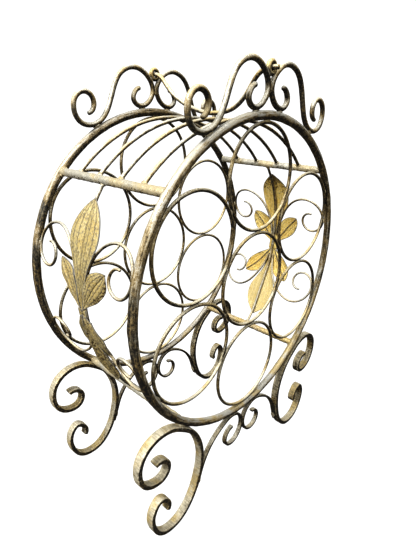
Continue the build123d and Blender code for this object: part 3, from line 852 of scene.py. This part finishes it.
def build_panels():
    spots = []
    for side_name, side in SIDES:
        along = np.linspace(-PANEL_HALF + 3.2, PANEL_HALF - 3.2, 260)
        lean = LEFT_STEM_LEAN * np.clip(along / PANEL_HALF, 0, 1) ** 2 if side == -1 else 0.0
        path = on_panel(lean, along, side)
        stem = sweep(f"{side_name}_panel_stem", path, round_section(STEM_WIRE / 2, 14), away_from_axis(path),
                     lumps=0.10, lump_size=4.0, seed=110 + side, end_cut=0.1)
        dress(stem, TENDRIL_FINISH, [f"{side_name}_stem"])
        for end in (-1, 1):
            spots.append((path[0 if end == -1 else -1], ALONG_DRUM, STEM_WELD))
        for half_name, half in (("upper", 1), ("lower", -1)):
            seed = 120 + 3 * side + half
            length, breadth, sway, darkening = LONG_LEAVES[side_name, half_name]
            outline = [(a * breadth, b * length) for a, b in LARGE_LEAF_EDGE]
            edges = [outline, [(-a, b) for a, b in outline]]
            leaf = build_leaf(f"{side_name}_{half_name}_long_leaf", side, half, edges, 170, 73, seed,
                              crown=1.6, lift=0.9 if half == -1 else 0.0, darkening=darkening, sway=sway)
            dress(leaf, LEAF_FINISH, [f"{side_name}_{half_name}_large_leaf"])
            for end_name, end in (("front", -1), ("rear", 1)):
                place = f"{side_name}_{half_name}_{end_name}"
                outlines, curl, tip = BENT_SHORT_LEAVES.get((side_name, half_name, end_name), SHORT_LEAF)
                edges = [[(end * a, b) for a, b in line] for line in outlines]
                small = build_leaf(f"{place}_short_leaf", side, half, edges, 110, 57, seed + 5 * end,
                                   crown=1.3, curl=curl, lift=1.5, tip=tip)
                nodes = [f"{side_name}_{half_name}_small_leaves"] if end == -1 else []
                dress(small, LEAF_FINISH, nodes)
                flat = np.array([(end * a, half * b + TENDRIL_RISE) for a, b in TENDRIL_LINE])
                path = spline(on_panel(flat[:, 0], flat[:, 1], side), SCROLL_STEP)
                tendril = sweep(f"{place}_curl", path, round_section(PANEL_WIRE / 2, 14),
                                away_from_axis(path), lumps=0.07, lump_size=5.0, seed=seed + 40,
                                ends=(0.8, 0.85))
                dress(tendril, TENDRIL_FINISH, [f"{place}_tendril"])
                touch = path[np.argmax(np.abs(path[:, 1]))]
                hoop_side = touch + np.array([0.0, end * (PANEL_WIRE / 2 + 0.6), 0.0])
                spots.append((hoop_side, UP, TENDRIL_WELD))
    dress(weld_beads("panel_welds", spots, 700), WELD_FINISH)


# ---------------------------------------------------------------- studio

FLOOR_REACH = 40.0
# Each lamp's place, width, power and colour. All of them aim at the middle of the drum.
LAMPS = {
    "key": ((-1.70, 0.10, 1.75), 0.9, 80.0, (1.0, 0.99, 0.97)),
    "overhead": ((0.10, -0.10, 2.2), 1.8, 36.0, (1.0, 1.0, 1.0)),
    "front": ((-0.60, -1.60, 1.00), 1.0, 12.0, (1.0, 1.0, 1.0)),
    "fill": ((1.80, 0.70, 0.90), 1.4, 9.0, (1.0, 1.0, 1.0)),
}


def build_floor():
    """A floor that the camera sees as white, and that throws little light back at the rack."""
    floor_mesh = bpy.data.meshes.new("floor")
    corners = [(across * FLOOR_REACH, back * FLOOR_REACH, 0)
               for across, back in ((-1, -1), (1, -1), (1, 1), (-1, 1))]
    floor_mesh.from_pydata(corners, [], [(0, 1, 2, 3)])
    floor = bpy.data.objects.new("floor", floor_mesh)
    bpy.context.scene.collection.objects.link(floor)
    g = Graph("pale_floor")
    grain = g.noise(g.place(), 3.0, 2.0)
    colour = g.mix(grain, (0.92, 0.92, 0.92), (0.95, 0.95, 0.95))
    paper = g.add("ShaderNodeBsdfDiffuse", {"Color": colour, "Roughness": 0.5})
    glow = g.add("ShaderNodeEmission", {"Color": (1.0, 1.0, 1.0, 1.0), "Strength": 1.0})
    distance = g.add("ShaderNodeVectorMath", {0: g.place()}, output="Value", operation="LENGTH")
    seen = g.add("ShaderNodeMixShader", {0: g.range(distance, 0.15, 1.1, 0.88, 1.0), 1: paper, 2: glow})
    unseen = g.add("ShaderNodeBsdfDiffuse", {"Color": (0.11, 0.105, 0.10, 1.0), "Roughness": 0.5})
    g.add_output(g.add("ShaderNodeMixShader", {0: g.add("ShaderNodeLightPath"), 1: unseen, 2: seen}))
    floor.data.materials.append(g.material)


def build_world():
    """White where the camera sees it, and a faint light on the rack."""
    world = bpy.data.worlds.new("soft_studio")
    bpy.context.scene.world = world
    world.use_nodes = True
    tree = world.node_tree
    tree.nodes.clear()
    output = tree.nodes.new("ShaderNodeOutputWorld")
    seen = tree.nodes.new("ShaderNodeBackground")
    seen.inputs["Color"].default_value = (1.0, 1.0, 1.0, 1.0)
    seen.inputs["Strength"].default_value = 1.0
    lighting = tree.nodes.new("ShaderNodeBackground")
    lighting.inputs["Color"].default_value = (0.95, 0.97, 1.0, 1.0)
    lighting.inputs["Strength"].default_value = 0.07
    rays = tree.nodes.new("ShaderNodeLightPath")
    mix = tree.nodes.new("ShaderNodeMixShader")
    tree.links.new(rays.outputs["Is Camera Ray"], mix.inputs[0])
    tree.links.new(lighting.outputs[0], mix.inputs[1])
    tree.links.new(seen.outputs[0], mix.inputs[2])
    tree.links.new(mix.outputs[0], output.inputs["Surface"])


def build_lamps():
    target = Vector((0.0, 0.0, AXIS_HEIGHT * MM))
    for name, (place, size, power, colour) in LAMPS.items():
        lamp = bpy.data.lights.new(name, "AREA")
        lamp.shape = "DISK"
        lamp.size = size
        lamp.energy = power
        lamp.color = colour
        holder = bpy.data.objects.new(name, lamp)
        holder.location = place
        holder.rotation_euler = (target - Vector(place)).to_track_quat("-Z", "Y").to_euler()
        bpy.context.scene.collection.objects.link(holder)


CAMERA_PLACE = (-0.31556, -0.28592, 0.39462)
CAMERA_AZIMUTH = -47.69
CAMERA_ELEVATION = 21.99
CAMERA_ROLL = 1.80
CAMERA_LENS = 26.28
CAMERA_SHIFT = (0.0171, 0.0041)


def build_camera():
    data = bpy.data.cameras.new("camera")
    data.lens = CAMERA_LENS
    data.shift_x, data.shift_y = CAMERA_SHIFT
    data.clip_start = 0.01
    camera = bpy.data.objects.new("camera", data)
    azimuth, elevation = math.radians(CAMERA_AZIMUTH), math.radians(CAMERA_ELEVATION)
    ahead = Vector((-math.sin(azimuth) * math.cos(elevation), math.cos(azimuth) * math.cos(elevation),
                    -math.sin(elevation)))
    level = ahead.to_track_quat("-Z", "Y").to_matrix()
    turned = level @ Matrix.Rotation(math.radians(CAMERA_ROLL), 3, "Z")
    camera.matrix_world = Matrix.Translation(CAMERA_PLACE) @ turned.to_4x4()
    bpy.context.scene.collection.objects.link(camera)
    bpy.context.scene.camera = camera


build_hoops_and_rings()
build_crossbars()
build_roof()
build_scrolls()
build_handle()
build_panels()
build_floor()
build_world()
build_lamps()
build_camera()
bpy.context.scene.view_settings.view_transform = "Standard"
bpy.context.scene.view_settings.look = "Medium High Contrast"
